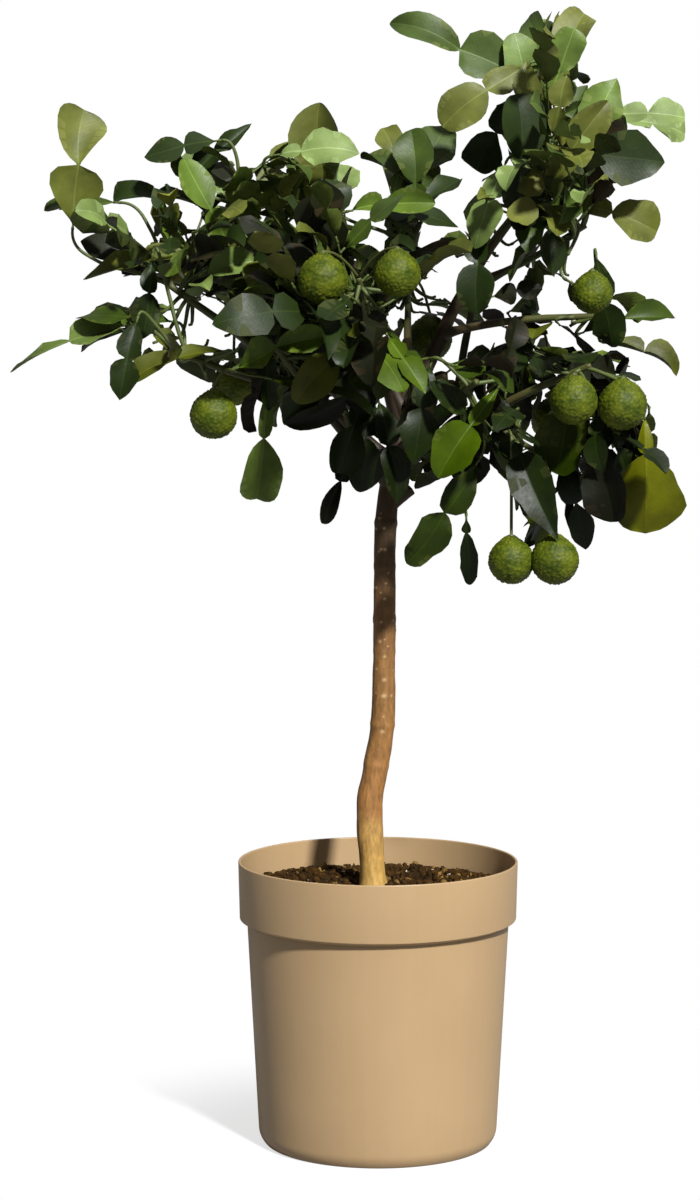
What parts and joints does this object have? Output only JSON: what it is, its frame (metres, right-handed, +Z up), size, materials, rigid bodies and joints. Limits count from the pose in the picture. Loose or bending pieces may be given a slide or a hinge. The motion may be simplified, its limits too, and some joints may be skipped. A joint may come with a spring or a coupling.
{
  "type": "potted kaffir lime tree",
  "caption": "Young standard citrus tree with a clear trunk, a broad leafy crown of double leaves and bumpy green fruit, in a round plastic nursery pot of soil.",
  "frame": {"origin": "middle of the pot's flat underside, where the pot stands", "axes": "+Z up along the pot's axis, the camera of the picture looks along +Y, and +X is to its right"},
  "size_m": [0.7498, 0.5437, 1.2131],
  "materials": {
    "pot_plastic": "satin sand-coloured moulded plastic",
    "potting_soil": "coarse dark peat and bark with pale grit",
    "trunk_bark": "smooth mottled brown bark with pale pores",
    "bough_bark": "smooth green-brown young bark",
    "foliage": "glossy deep green leaves with paler undersides"
  },
  "bodies": {
    "root": {"pot": "pot_plastic", "soil": "potting_soil", "trunk": "trunk_bark", "bough_tower": "bough_bark", "bough_left": "bough_bark", "bough_low_left": "bough_bark", "bough_upper_left": "bough_bark", "bough_front_left": "bough_bark", "bough_front": "bough_bark", "bough_upper_centre": "bough_bark", "bough_crest": "bough_bark", "bough_right_high": "bough_bark", "bough_right": "bough_bark", "bough_low_right": "bough_bark", "bough_hanging_right": "bough_bark", "bough_low_centre": "bough_bark", "bough_skirt": "bough_bark", "bough_back_left": "bough_bark", "bough_back_top": "bough_bark", "bough_back": "bough_bark", "bough_back_right": "bough_bark", "bough_back_high": "bough_bark", "foliage_tower": "foliage", "foliage_left": "foliage", "foliage_low_left": "foliage", "foliage_upper_left": "foliage", "foliage_front_left": "foliage", "foliage_front": "foliage", "foliage_upper_centre": "foliage", "foliage_crest": "foliage", "foliage_right_high": "foliage", "foliage_right": "foliage", "foliage_low_right": "foliage", "foliage_hanging_right": "foliage", "foliage_low_centre": "foliage", "foliage_skirt": "foliage", "foliage_back_left": "foliage", "foliage_back_top": "foliage", "foliage_back": "foliage", "foliage_back_right": "foliage", "foliage_back_high": "foliage"}
  },
  "joints": []
}
